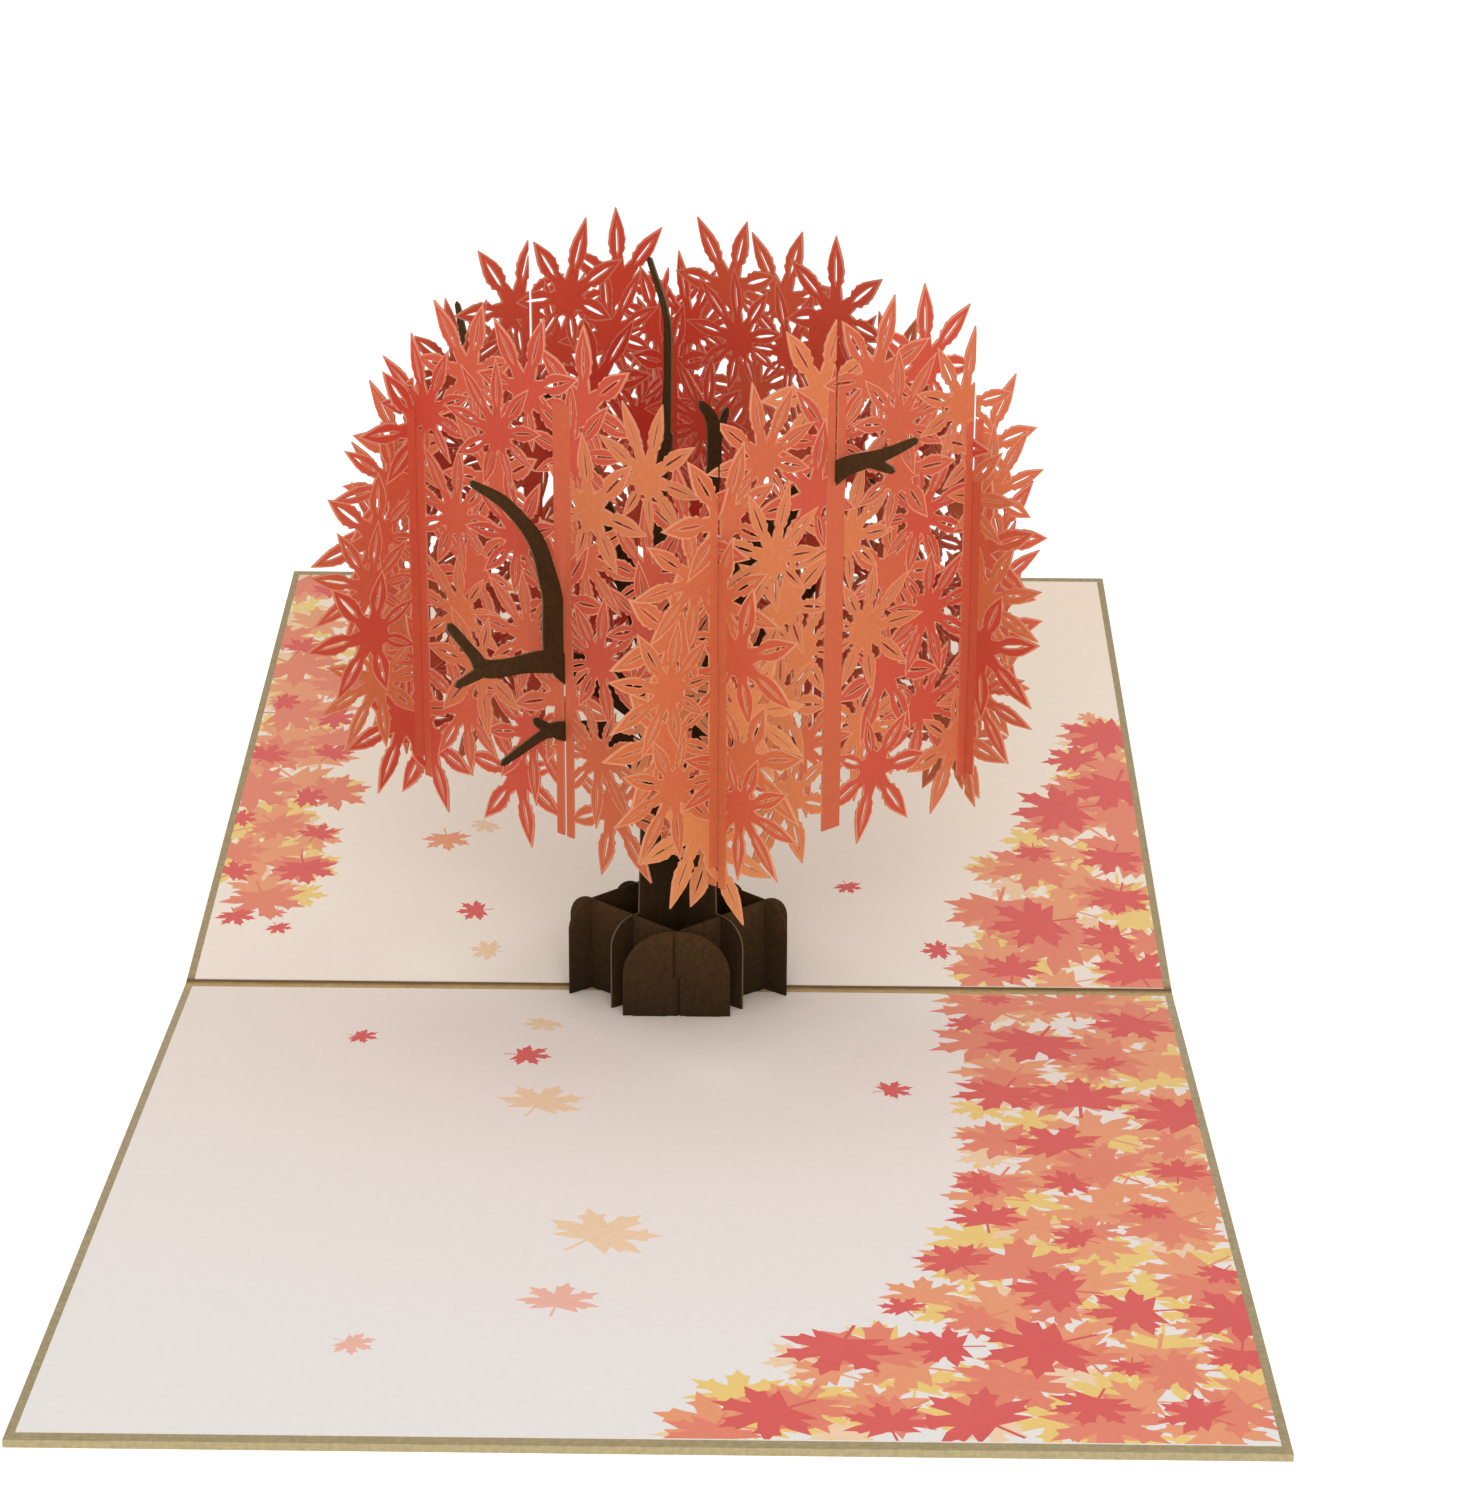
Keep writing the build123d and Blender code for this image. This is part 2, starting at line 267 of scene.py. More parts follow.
def triangles_of(polygons):
    """Triangles of overlapping polygons, each with the polygons that it lies in."""
    corners = []
    faces = []
    for polygon in polygons:
        ring = list(polygon)
        if area(ring) <= 0:
            ring.reverse()
        faces.append(list(range(len(corners), len(corners) + len(ring))))
        corners += [Vector(point) for point in ring]
    points, _, triangles, _, _, inside = delaunay_2d_cdt(
        corners, [], faces, INSIDE_TRIANGLES, WELD_DISTANCE
    )
    return points, list(zip(triangles, inside))


def largest_patch(triangles):
    """The triangles of the largest patch that hangs together by shared edges."""
    by_edge = {}
    for index, triangle in enumerate(triangles):
        for a, b in zip(triangle, triangle[1:] + triangle[:1]):
            by_edge.setdefault(frozenset((a, b)), []).append(index)
    left = set(range(len(triangles)))
    best = []
    while left:
        patch = [left.pop()]
        for index in patch:
            triangle = triangles[index]
            for a, b in zip(triangle, triangle[1:] + triangle[:1]):
                for other in by_edge[frozenset((a, b))]:
                    if other in left:
                        left.remove(other)
                        patch.append(other)
        if len(patch) > len(best):
            best = patch
    return [triangles[index] for index in sorted(best)]


def thick_mesh(name, plane, points, triangles, low, high, materials, upper, lower):
    """Closed thin mesh: the triangles at two heights, with walls along their outer edges.

    upper and lower give each triangle's material on the two faces.
    The last material is on the walls.
    """
    used = sorted({index for triangle in triangles for index in triangle})
    place = {index: order for order, index in enumerate(used)}
    count = len(used)
    corners = [plane.at(points[i][0], points[i][1], low) for i in used]
    corners += [plane.at(points[i][0], points[i][1], high) for i in used]
    edges = {(a, b) for t in triangles for a, b in zip(t, t[1:] + t[:1])}
    walls = [(a, b) for a, b in sorted(edges) if (b, a) not in edges]
    faces = [[place[i] + count for i in t] for t in triangles]
    faces += [[place[i] for i in t[::-1]] for t in triangles]
    faces += [[place[a], place[b], place[b] + count, place[a] + count] for a, b in walls]
    mesh = bpy.data.meshes.new(name)
    mesh.from_pydata(corners, [], faces)
    for material in materials:
        mesh.materials.append(material)
    mesh.polygons.foreach_set("material_index", upper + lower + [len(materials) - 1] * len(walls))
    mesh.update()
    piece = bpy.data.objects.new(name, mesh)
    bpy.context.scene.collection.objects.link(piece)
    return piece


# One polygon of a sheet: its shape's place in the order, its material, and whether it is the
# shape's outline
Layer = namedtuple("Layer", "order slot is_outline")


def cut_sheet(name, plane, shapes, through_cuts, materials):
    """Card sheet of merged shapes, the later ones lying over the earlier ones.

    A shape is its outline, its material, and the polygons inside it with a material each,
    or none for a cut.
    """
    polygons = []
    layers = []
    for order, (outline, outline_slot, details) in enumerate(shapes):
        for polygon, slot in [(outline, outline_slot), *details]:
            polygons.append(polygon)
            layers.append(Layer(order, slot, polygon is outline))
    through_start = len(polygons)
    points, triangles = triangles_of(polygons + through_cuts)
    kept = {}
    for triangle, inside in triangles:
        if any(index >= through_start for index in inside):
            continue
        orders = [layers[index].order for index in inside if layers[index].is_outline]
        if not orders:
            continue
        top = max(orders)
        slot = layers[max(index for index in inside if layers[index].order == top)].slot
        if slot is not None:
            kept[tuple(triangle)] = slot
    patch = largest_patch([list(triangle) for triangle in kept])
    slots = [kept[tuple(triangle)] for triangle in patch]
    half = SHEET_THICKNESS / 2
    return thick_mesh(name, plane, points, patch, -half, half, materials, slots, slots)


def box(x, low, high, width):
    """Upright rectangle about x."""
    left = x - width / 2
    right = x + width / 2
    return [(left, low), (right, low), (right, high), (left, high)]


def half_slots(slots):
    """Cuts for half slots, each given as x, low end and high end."""
    return [box(x, low, high, SLOT_WIDTH) for x, low, high in slots]


def turned(points, x, y, turn, scale=1.0):
    """Points turned, scaled and moved to x, y."""
    c = cos(turn) * scale
    s = sin(turn) * scale
    return [(x + px * c - py * s, y + px * s + py * c) for px, py in points]


def lobe_reach(angle):
    """Distance from a leaf's middle to the tip of a lobe, shorter towards the stem."""
    return LEAF_REACH * (STEM_LOBE_SHARE + (1 - STEM_LOBE_SHARE) * (1 + cos(angle)) / 2)


def star(lobes, half_width, notch_radius, profile, tip_share, tooth_share):
    """Outline of one leaf about its middle: longest lobe along x, saw teeth along each lobe."""
    stem_lobes = (lobes // 2, (lobes + 1) // 2)
    points = []
    for lobe in range(lobes):
        angle = 2 * pi * lobe / lobes
        notch = angle - pi / lobes
        reach = lobe_reach(angle)
        half = half_width * (STEM_LOBE_WIDTH_SHARE if lobe in stem_lobes else 1.0)
        flank = []
        for along, width in profile:
            flank.append((along * reach, width * half))
            if tooth_share:
                flank.append(((along + TOOTH_STEP) * reach, (width - tooth_share) * half))
        mirrored = [(along, -width) for along, width in flank]
        points.append((notch_radius * cos(notch), notch_radius * sin(notch)))
        points += turned(mirrored + [(tip_share * reach, 0)] + flank[::-1], 0, 0, angle)
    return points


def vein_slits(lobes, profile, half_width):
    """Narrow slit along the middle of each lobe."""
    slits = []
    for lobe in range(lobes):
        angle = 2 * pi * lobe / lobes
        reach = lobe_reach(angle)
        upper = [(along * reach, width * half_width) for along, width in profile]
        lower = [(along, -width) for along, width in upper[1:-1]]
        slits.append(turned(upper + lower[::-1], 0, 0, angle))
    return slits


def leaf_pattern(lobes, width_share):
    """Cut lines of one leaf: outline, face inside the pale rim, rims of the slits, and slits."""
    half_width = LOBE_HALF_WIDTH * width_share
    outline = star(lobes, half_width, LOBE_NOTCH_RADIUS, LOBE_PROFILE, 1.0, TOOTH_SHARE)
    face = star(lobes, half_width, RIM_NOTCH_RADIUS, RIM_PROFILE, RIM_TIP_SHARE, 0.0)
    rims = vein_slits(lobes, SLIT_RIM_PROFILE, SLIT_RIM_HALF_WIDTH * width_share)
    slits = vein_slits(lobes, SLIT_PROFILE, SLIT_HALF_WIDTH * width_share)
    return outline, face, rims, slits


ROW_LEAF = leaf_pattern(LOBE_COUNT, 1.0)
INFILL_LEAF = leaf_pattern(INFILL_LOBES, INFILL_LOBE_SHARE)


def crown_span(drop, reach, bulge):
    """Share of the crown's full half width, or height, left at a distance from its middle."""
    return (1 - min(abs(drop) / reach, 1) ** bulge) ** (1 / bulge)


def row_half_width(half_width, rise):
    """Half the width of a row of leaf middles at a height above the crown's middle."""
    inset = LEAF_INSET_SHARE * LEAF_REACH
    if rise > 0:
        return (half_width - LEAF_REACH) * crown_span(rise, CROWN_RISE - inset, CROWN_TOP_BULGE)
    return (half_width - LEAF_REACH) * crown_span(rise, CROWN_FALL - inset, CROWN_FOOT_BULGE)


def leaf_row(pattern, scale, twist, row_half, gaps, rise):
    """Leaves of one row as pattern, x, rise, turn and scale, twisted by turns to either side."""
    leaves = []
    for index in range(gaps + 1):
        along = row_half * (2 * index / gaps - 1)
        turn = atan2(rise, along) + radians(twist) * (-1) ** index
        leaves.append((pattern, along, rise, turn, scale))
    return leaves


def leaf_places(half_width, middle, lean_along, infill_pitch):
    """Leaves as a pattern and its x, y, turn and scale: rows, and smaller leaves between them."""
    lowest = LEAF_REACH - CROWN_FALL
    highest = CROWN_RISE - LEAF_REACH
    rows = round((highest - lowest) / LEAF_ROW_PITCH)
    row_step = (highest - lowest) / rows
    leaves = []
    for row in range(rows + 1):
        rise = lowest + row_step * row
        row_half = row_half_width(half_width, rise)
        gaps = max(LEAST_ROW_GAPS, round(2 * row_half / LEAF_PITCH))
        twist = LEAF_TWIST * (-1) ** row
        leaves += leaf_row(ROW_LEAF, 1.0, twist, row_half, gaps, rise)
    for row in range(rows):
        rise = lowest + row_step * (row + 0.5)
        row_half = row_half_width(half_width, rise)
        gaps = round(2 * row_half / infill_pitch)
        twist = INFILL_TWIST * (-1) ** row
        leaves += leaf_row(INFILL_LEAF, INFILL_SCALE, twist, row_half, gaps, rise)
    places = []
    for pattern, along, rise, turn, scale in leaves:
        x = along + lean_along * max(rise, 0) / highest
        places.append((pattern, (x, middle + rise, turn, scale)))
    return places


# Slots of a leaf sheet's materials: three tones of leaf, and the pale edge of the cut
LEAF_TONES = (0, 1, 2)
PALE_EDGE = 3


def foliage(rng, node, plane, infill_pitch, offset, middle, lean_along, spines, slots):
    """Leaf sheet with upright spines and half slots, in place of the plainer one of the frame."""
    half_width = sqrt(CROWN_RADIUS**2 - offset**2)
    places = leaf_places(half_width, middle, lean_along, infill_pitch)
    rng.shuffle(places)
    shapes = []
    for (outline, face, rims, slits), place in places:
        details = [(turned(face, *place), rng.choice(LEAF_TONES))]
        details += [(turned(rim, *place), PALE_EDGE) for rim in rims]
        details += [(turned(slit, *place), None) for slit in slits]
        shapes.append((turned(outline, *place), PALE_EDGE, details))
    for x in spines:
        fall = CROWN_FALL * crown_span(x, half_width, CROWN_FOOT_BULGE)
        rise = CROWN_RISE * crown_span(x - lean_along / 2, half_width, CROWN_TOP_BULGE)
        low = middle - fall + SPINE_FOOT_INSET
        high = middle + rise - SPINE_TOP_INSET
        shapes.append((box(x, low, high, SPINE_WIDTH), LEAF_TONES[0], []))
    through = half_slots(slots)
    piece = cut_sheet("leaf_sheet_" + node, plane, shapes, through, leaf_materials)
    carry(piece, node)


def carry(piece, node):
    """Let a piece stand for a node of the frame and ride with it."""
    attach(piece, "root")
    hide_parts(node)


def between(a, b, c, d, t):
    """Value a share t of the way from b to c, on a smooth line through a, b, c and d."""
    return b + t * (c - a + t * (2 * a - 5 * b + 4 * c - d + t * (3 * b - a - 3 * c + d))) / 2


def smooth_route(route):
    """Points of a smooth line through a route's points."""
    ends = [route[0], *route, route[-1]]
    line = []
    for around in zip(ends, ends[1:], ends[2:], ends[3:]):
        for step in range(ROUTE_STEPS):
            line.append(tuple(between(*values, step / ROUTE_STEPS) for values in zip(*around)))
    return line + [route[-1]]


def branch_outline(route, root_width, tip_width):
    """Outline of a tapered branch with slight knots along its sides and a pointed tip."""
    line = smooth_route(route)
    last = len(line) - 1
    left = []
    right = []
    for index, (x, y) in enumerate(line):
        before = line[max(index - 1, 0)]
        after = line[min(index + 1, last)]
        heading = atan2(after[1] - before[1], after[0] - before[0])
        half = (root_width + (tip_width - root_width) * index / last) / 2
        knot_left = half * (1 + KNOT_DEPTH * sin((x + 2 * y) / KNOT_LENGTH))
        knot_right = half * (1 + KNOT_DEPTH * sin((2 * x - y) / KNOT_LENGTH))
        left.append((x - knot_left * sin(heading), y + knot_left * cos(heading)))
        right.append((x + knot_right * sin(heading), y - knot_right * cos(heading)))
    tip = (x + tip_width / 2 * cos(heading), y + tip_width / 2 * sin(heading))
    return left + [tip] + right[::-1]


def page_height(depth):
    """Height of a page's inside face at a distance in front of or behind the fold."""
    return abs(depth) * tan(LEAN)


def foot_height(depth):
    """Height of a sheet's foot, just above the liner."""
    return page_height(depth) + (LINER_THICKNESS + SEAT_CLEARANCE) / cos(LEAN)


def rounded_foot(half, height, corner):
    """Upright panel from the fold up, with its two upper corners rounded."""
    turns = [pi / 2 * step / FIN_ROUND_STEPS for step in range(FIN_ROUND_STEPS + 1)]
    arc = [(half - corner + corner * cos(t), height - corner + corner * sin(t)) for t in turns]
    reach = half * sin(TURN)
    foot = [(-half, foot_height(reach)), (0, foot_height(0)), (half, foot_height(reach))]
    return foot + arc + [(-x, y) for x, y in arc[::-1]]


def trunk(node, plane, branches, slots):
    """Trunk with its branches and planter fins, cut along smooth knotted lines."""
    foot_half = PLANTER_HALF_SIDE + FIN_LENGTH
    body_half = PLANTER_HALF_SIDE - SLOT_WIDTH
    body_foot = foot_height(body_half * sin(TURN))
    shapes = [
        rounded_foot(foot_half, PLANTER_HEIGHT, FIN_ROUND),
        [
            (-body_half, body_foot),
            (0, foot_height(0)),
            (body_half, body_foot),
            (TRUNK_NECK_HALF_WIDTH, TRUNK_NECK_HEIGHT),
            (TRUNK_FORK_HALF_WIDTH, TRUNK_FORK_HEIGHT),
            (0, TRUNK_CROTCH_HEIGHT),
            (-TRUNK_FORK_HALF_WIDTH, TRUNK_FORK_HEIGHT),
            (-TRUNK_NECK_HALF_WIDTH, TRUNK_NECK_HEIGHT),
        ],
    ]
    shapes += [branch_outline(*branch) for branch in branches]
    plain = [(outline, 0, []) for outline in shapes]
    through = half_slots(slots)
    piece = cut_sheet("branch_sheet_" + node, plane, plain, through, (bark_card, bark_edge_painted_shade))
    carry(piece, node)


# Half outline of a printed maple leaf from its tip to its stem, one unit from middle to tip
MAPLE_HALF = (
    (0.00, 1.00), (0.10, 0.78), (0.22, 0.77), (0.18, 0.58), (0.17, 0.40), (0.36, 0.52),
    (0.42, 0.67), (0.52, 0.56), (0.80, 0.64), (0.66, 0.43), (0.72, 0.31), (0.52, 0.24),
    (0.42, 0.13), (0.62, 0.11), (0.95, -0.06), (0.68, -0.14), (0.66, -0.25), (0.42, -0.18),
    (0.56, -0.44), (0.24, -0.34), (0.03, -0.26), (0.03, -0.75),
)
MAPLE = [*MAPLE_HALF, *((-x, y) for x, y in MAPLE_HALF[:0:-1])]

# Print inks, by their slot on a liner after the bare paper
YELLOW, PEACH, BLUSH, ORANGE, CORAL, CRIMSON = range(1, 7)

# Layers of a drift from the lowest up: ink, least spacing of the leaves, and their smallest
# and largest reach
DRIFT_LAYERS = (
    (YELLOW, 8.0, 5.0, 8.0),
    (PEACH, 16.0, 5.0, 7.0),
    (ORANGE, 8.5, 5.5, 9.5),
    (CORAL, 11.0, 5.5, 10.5),
    (CRIMSON, 11.0, 3.0, 9.5),
)
DRIFT_TRIES = 900

# A leaf's tip points to the middle of the page, give or take a sway, in degrees
DRIFT_HEADING = 90.0
DRIFT_SWAY = 100.0

# Least share of its reach that a leaf's middle keeps from the drift's inner edge
DRIFT_INSET_SHARE = 0.55


def printed_leaf(x, depth, reach, turn, ink):
    """Outline of one printed leaf, turned by degrees, with its ink."""
    return turned(MAPLE, x, depth, radians(turn), reach), ink


def edge_at(stops, depth):
    """Place of a drift's inner edge at a depth, straight between its stops."""
    for (near, low), (far, high) in zip(stops, stops[1:]):
        if depth <= far:
            return low + (high - low) * (depth - near) / (far - near)
    return stops[-1][1]


def drift(rng, inner_edge, outer, depths):
    """Leaves heaped from an inner edge, which changes with the depth, to the page's outer side."""
    leaves = []
    side = 1 if outer > 0 else -1
    for ink, spacing, small, large in DRIFT_LAYERS:
        placed = []
        for _ in range(DRIFT_TRIES):
            depth = rng.uniform(*depths)
            x = side * rng.uniform(0, abs(outer))
            reach = rng.uniform(small, large)
            sway = rng.uniform(-DRIFT_SWAY, DRIFT_SWAY)
            inside = side * (x - edge_at(inner_edge, depth))
            near = any((x - px) ** 2 + (depth - py) ** 2 < spacing**2 for px, py in placed)
            if inside > DRIFT_INSET_SHARE * reach and not near:
                placed.append((x, depth))
                leaves.append(printed_leaf(x, depth, reach, side * (DRIFT_HEADING + sway), ink))
    return leaves


def liner(node, page, leaves, inks):
    """Printed paper inside a page, its leaves lying as fields of colour in one sheet."""
    sheet = box(0, FOLD_GAP / 2, PAGE_DEPTH - LINER_END_BORDER, 2 * LINER_HALF_WIDTH)
    slit_at = FLAP_DEPTH / cos(LEAN)
    slit_low = slit_at - SLOT_WIDTH / 2
    slit_high = slit_at + SLOT_WIDTH / 2
    slit_width = FLAP_TAB_WIDTH + SLOT_WIDTH - SHEET_THICKNESS
    slits = [box(x, slit_low, slit_high, slit_width) for x in (-FLAP_WIDTH / 2, FLAP_WIDTH / 2)]
    polygons = [sheet, *slits] + [polygon for polygon, _ in leaves]
    first_leaf = 1 + len(slits)
    points, triangles = triangles_of(polygons)
    kept = []
    slots = []
    for triangle, inside in triangles:
        if 0 in inside and not any(0 < index < first_leaf for index in inside):
            top = max(inside)
            kept.append(list(triangle))
            slots.append(leaves[top - first_leaf][1] if top >= first_leaf else 0)
    bare = [0] * len(kept)
    piece = thick_mesh("printed_" + node, page, points, kept, 0, LINER_THICKNESS, inks, slots, bare)
    carry(piece, node)


def srgb(red, green, blue):
    """Linear colour of an sRGB colour of 0 to 255."""
    shares = [value / 255 for value in (red, green, blue)]
    return [*(s / 12.92 if s <= 0.04045 else ((s + 0.055) / 1.055) ** 2.4 for s in shares), 1.0]


# How a stock looks close up: clouds that shift its colour, fine grain, dullness and fibrous relief
Finish = namedtuple("Finish", "mottle grain roughness relief")

# Noise of the clouds and the fibres, per metre, the part of its range that the grain spans,
# the height of the fibres in mm, and the little sheen that all stocks have
CLOUD_SCALE = 60.0
CLOUD_DETAIL = 3.0
FIBRE_SCALE = 1400.0
FIBRE_DETAIL = 4.0
FIBRE_RANGE = (0.3, 0.7)
FIBRE_HEIGHT = 0.05
SHEEN = 0.15


def card_material(name, stops, direction, span, finish):
    """Paper or card whose colour changes along a direction.

    stops are (share, colour) along the span, which is the lowest and highest distance in mm.
    """
    material = bpy.data.materials.new(name)
    material.use_nodes = True
    tree = material.node_tree
    shader = tree.nodes["Principled BSDF"]
    shader.inputs["Roughness"].default_value = finish.roughness
    shader.inputs["Specular IOR Level"].default_value = SHEEN

    def node(kind, **values):
        made = tree.nodes.new(kind)
        for key, value in values.items():
            setattr(made, key, value)
        return made

    place = node("ShaderNodeTexCoord")
    along = node("ShaderNodeVectorMath", operation="DOT_PRODUCT")
    along.inputs[1].default_value = direction
    tree.links.new(place.outputs["Object"], along.inputs[0])
    share = node("ShaderNodeMapRange")
    share.inputs["From Min"].default_value = span[0] * MM
    share.inputs["From Max"].default_value = span[1] * MM
    tree.links.new(along.outputs["Value"], share.inputs["Value"])

    clouds = node("ShaderNodeTexNoise")
    clouds.inputs["Scale"].default_value = CLOUD_SCALE
    clouds.inputs["Detail"].default_value = CLOUD_DETAIL
    tree.links.new(place.outputs["Object"], clouds.inputs["Vector"])
    shift = node("ShaderNodeMath", operation="MULTIPLY_ADD")
    shift.inputs[1].default_value = finish.mottle
    tree.links.new(clouds.outputs["Fac"], shift.inputs[0])
    tree.links.new(share.outputs["Result"], shift.inputs[2])

    ramp = node("ShaderNodeValToRGB")
    while len(ramp.color_ramp.elements) < len(stops):
        ramp.color_ramp.elements.new(0.5)
    for element, (position, colour) in zip(ramp.color_ramp.elements, stops):
        element.position = position
        element.color = srgb(*colour)
    tree.links.new(shift.outputs["Value"], ramp.inputs["Fac"])

    fibres = node("ShaderNodeTexNoise")
    fibres.inputs["Scale"].default_value = FIBRE_SCALE
    fibres.inputs["Detail"].default_value = FIBRE_DETAIL
    tree.links.new(place.outputs["Object"], fibres.inputs["Vector"])
    shade = node("ShaderNodeMapRange")
    shade.inputs["From Min"].default_value = FIBRE_RANGE[0]
    shade.inputs["From Max"].default_value = FIBRE_RANGE[1]
    shade.inputs["To Min"].default_value = 1.0 - finish.grain
    shade.inputs["To Max"].default_value = 1.0 + finish.grain
    tree.links.new(fibres.outputs["Fac"], shade.inputs["Value"])
    tint = node("ShaderNodeVectorMath", operation="SCALE")
    tree.links.new(ramp.outputs["Color"], tint.inputs[0])
    tree.links.new(shade.outputs["Result"], tint.inputs["Scale"])
    tree.links.new(tint.outputs["Vector"], shader.inputs["Base Color"])

    bump = node("ShaderNodeBump")
    bump.inputs["Strength"].default_value = finish.relief
    bump.inputs["Distance"].default_value = FIBRE_HEIGHT * MM
    tree.links.new(fibres.outputs["Fac"], bump.inputs["Height"])
    tree.links.new(bump.outputs["Normal"], shader.inputs["Normal"])
    return material


# Leaf card runs from red at the back and top to orange at the front and foot, in three tones
LEAF_DIRECTION = (0, -1, -0.25)
LEAF_SPAN = (-70, 42)
LEAF_FINISH = Finish(mottle=0.12, grain=0.05, roughness=0.75, relief=0.35)
LEAF_STOPS = {
    "leaf_card": (
        (0.0, (206, 64, 45)),
        (0.35, (202, 74, 51)),
        (0.60, (192, 86, 60)),
        (0.80, (191, 95, 62)),
        (1.0, (194, 104, 65)),
    ),
    "leaf_card_warm": (
        (0.0, (207, 76, 50)),
        (0.35, (203, 87, 56)),
        (0.60, (195, 104, 65)),
        (0.80, (200, 115, 71)),
        (1.0, (207, 130, 79)),
    ),
    "leaf_card_deep": (
        (0.0, (200, 53, 39)),
        (0.35, (196, 61, 44)),
        (0.60, (188, 72, 53)),
        (0.80, (190, 80, 58)),
        (1.0, (193, 89, 61)),
    ),
}
leaf_materials = [
    card_material(name, stops, LEAF_DIRECTION, LEAF_SPAN, LEAF_FINISH)
    for name, stops in LEAF_STOPS.items()
]
EDGE_STOPS = ((0.0, (206, 122, 100)), (0.6, (208, 132, 104)), (1.0, (208, 140, 100)))
EDGE_FINISH = Finish(mottle=0.1, grain=0.04, roughness=0.85, relief=0.3)
leaf_edge = card_material("leaf_cut_edge", EDGE_STOPS, LEAF_DIRECTION, LEAF_SPAN, EDGE_FINISH)
leaf_materials.append(leaf_edge)

# Brown card of the trunk and the planter, darker towards the foot: painted shade under the crown
# and inside the planter
UPWARD = (0, 0, 1)
# Painted shade: the trunk's card is darker towards its foot, where the crown and the planter shade
# it
BARK_PAINTED_SHADE_STOPS = ((0.0, (40, 27, 12)), (1.0, (66, 46, 22)))
BARK_SPAN = (0, 160)
BARK_FINISH = Finish(mottle=0.9, grain=0.22, roughness=0.95, relief=0.7)
bark_card = card_material("bark_card", BARK_PAINTED_SHADE_STOPS, UPWARD, BARK_SPAN, BARK_FINISH)
# Painted shade: the planter's card darkens from its rim down to its foot, in the crown's shade
PLANTER_PAINTED_SHADE_STOPS = (
    (0.0, (36, 25, 12)),
    (0.35, (50, 35, 17)),
    (0.75, (62, 43, 22)),
    (1.0, (72, 50, 27)),
)
PLANTER_SPAN = (0, 17)
PLANTER_FINISH = Finish(mottle=0.25, grain=0.22, roughness=0.95, relief=0.7)
planter_card_painted_shade = card_material("planter_card_painted_shade", PLANTER_PAINTED_SHADE_STOPS, UPWARD, PLANTER_SPAN, PLANTER_FINISH)
# Painted shade: the cut edge of the trunk's card also darkens towards the foot
BARK_EDGE_PAINTED_SHADE_STOPS = ((0.0, (98, 80, 60)), (1.0, (112, 92, 70)))
BARK_EDGE_SPAN = (0, 110)
BARK_EDGE_FINISH = Finish(mottle=0.4, grain=0.08, roughness=0.8, relief=0.4)
bark_edge_painted_shade = card_material(
    "bark_cut_edge_painted_shade", BARK_EDGE_PAINTED_SHADE_STOPS, UPWARD, BARK_EDGE_SPAN, BARK_EDGE_FINISH
)

# Tan pearl card of the cover from its front edge to its back edge, with a gold strip along the fold
# and a painted shadow line where the back liner's front edge lies just behind it
BACKWARD = (0, 1, 0)
PAGE_SPAN = (-PAGE_DEPTH, PAGE_DEPTH)
COVER_AND_PAINTED_SHADOW_STOPS = (
    (0.0, (162, 147, 110)),
    (0.490, (174, 159, 126)),
    (0.4955, (190, 160, 108)),
    (0.5025, (190, 160, 108)),
    # Painted shadow: this dark line just behind the fold is the shadow of the back liner's front
    # edge
    (0.504, (88, 60, 30)),
    (0.506, (88, 60, 30)),
    (0.508, (168, 150, 114)),
    (1.0, (166, 148, 112)),
)
COVER_FINISH = Finish(mottle=0.002, grain=0.14, roughness=0.6, relief=0.5)
cover_card = card_material("cover_card", COVER_AND_PAINTED_SHADOW_STOPS, BACKWARD, PAGE_SPAN, COVER_FINISH)

# Paper of the liners, lighter and warmer towards the back: painted light that lifts the crown's
# shadow on the back page and paints in the warm light thrown off the orange crown. Then the inks of
# its print
PAPER_AND_PAINTED_LIGHT_STOPS = (
    (0.0, (234, 230, 227)),
    (0.30, (239, 231, 223)),
    (0.50, (241, 229, 217)),
    (0.60, (245, 233, 217)),
    (1.0, (245, 227, 206)),
)
PAPER_FINISH = Finish(mottle=0.04, grain=0.02, roughness=0.65, relief=0.25)
paper = card_material("liner_paper", PAPER_AND_PAINTED_LIGHT_STOPS, BACKWARD, PAGE_SPAN, PAPER_FINISH)
INKS = {
    "yellow": ((234, 199, 114), (240, 208, 132)),
    "peach": ((240, 212, 178), (240, 206, 170)),
    "blush": ((238, 186, 168), (238, 180, 160)),
    "orange": ((231, 150, 110), (236, 163, 124)),
    "coral": ((227, 128, 106), (231, 141, 116)),
    "crimson": ((216, 90, 88), (222, 106, 100)),
}
PRINT_FINISH = Finish(mottle=0.9, grain=0.03, roughness=0.65, relief=0.25)
liner_inks = [paper]
for ink, (dark, light) in INKS.items():
    stops = ((0.0, dark), (1.0, light))
    liner_inks.append(card_material("print_" + ink, stops, BACKWARD, PAGE_SPAN, PRINT_FINISH))
liner_inks.append(paper)

